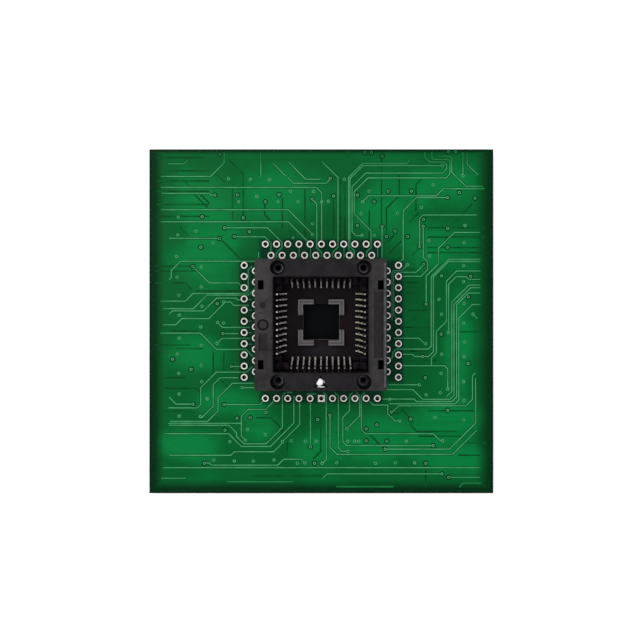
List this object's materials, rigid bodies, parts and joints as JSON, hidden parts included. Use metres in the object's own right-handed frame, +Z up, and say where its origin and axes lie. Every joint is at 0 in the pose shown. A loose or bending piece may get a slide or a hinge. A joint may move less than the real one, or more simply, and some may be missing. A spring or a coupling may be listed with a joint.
{
  "type": "zif socket",
  "caption": "Open-top zero-insertion-force chip carrier socket with a spring-loaded press-down frame and two-part spring contacts, soldered to a square adapter board ringed with plated holes.",
  "frame": {"origin": "middle of the socket and board, on the surface that the solder tails stand on", "axes": "+Z up out of the board through the socket's mouth; -Y towards the side with the pin 1 arrow; +X to the right seen from above"},
  "size_m": [0.078, 0.078, 0.0161],
  "materials": {
    "board_mask": "green solder mask over glass-fibre laminate, satin gloss",
    "pad_tin": "tinned copper, satin",
    "solder": "solder, bright",
    "socket_black": "moulded black plastic, fine matte grain",
    "cover_grey": "moulded charcoal plastic, fine matte grain",
    "seat_grey": "moulded plastic, worn satin",
    "contact_gold": "gold-flashed copper alloy, satin",
    "spring_steel": "drawn spring wire",
    "mark_white": "white paint, matte"
  },
  "bodies": {
    "socket_base": {"board": "board_mask", "adapter_pads": "pad_tin", "socket_pads": "pad_tin", "solder_joints": "solder", "base": "socket_black", "contact_retainer": "socket_black", "seat_insert": "seat_grey", "return_spring_ne": "spring_steel", "return_spring_nw": "spring_steel", "return_spring_sw": "spring_steel", "return_spring_se": "spring_steel", "contact_stems_east": "contact_gold", "contact_stems_north": "contact_gold", "contact_stems_west": "contact_gold", "contact_stems_south": "contact_gold"},
    "cover": {"cover": "cover_grey", "pin1_mark": "mark_white"},
    "arms_east": {"contact_arms_east": "contact_gold"},
    "arms_north": {"contact_arms_north": "contact_gold"},
    "arms_west": {"contact_arms_west": "contact_gold"},
    "arms_south": {"contact_arms_south": "contact_gold"}
  },
  "joints": [
    {"name": "cover_press", "type": "slide", "parent": "socket_base", "child": "cover", "axis": [0, 0, -1], "range_m": [0, 0.002], "stiffness_N_per_m": 1700, "springref_m": -0.0015, "deforming": ["return_spring_ne", "return_spring_nw", "return_spring_sw", "return_spring_se"]},
    {"name": "arms_open_east", "type": "hinge", "parent": "socket_base", "child": "arms_east", "pos_m": [0.0086, 0, 0.00445], "axis": [0, 1, 0], "range_deg": [0, 16]},
    {"name": "arms_open_north", "type": "hinge", "parent": "socket_base", "child": "arms_north", "pos_m": [0, 0.0086, 0.00445], "axis": [-1, 0, 0], "range_deg": [0, 16]},
    {"name": "arms_open_west", "type": "hinge", "parent": "socket_base", "child": "arms_west", "pos_m": [-0.0086, 0, 0.00445], "axis": [0, -1, 0], "range_deg": [0, 16]},
    {"name": "arms_open_south", "type": "hinge", "parent": "socket_base", "child": "arms_south", "pos_m": [0, -0.0086, 0.00445], "axis": [1, 0, 0], "range_deg": [0, 16]}
  ],
  "couplings": [
    {"joint": "arms_open_east", "follows": "cover_press", "rad_per_m": 139.6},
    {"joint": "arms_open_north", "follows": "cover_press", "rad_per_m": 139.6},
    {"joint": "arms_open_west", "follows": "cover_press", "rad_per_m": 139.6},
    {"joint": "arms_open_south", "follows": "cover_press", "rad_per_m": 139.6}
  ]
}
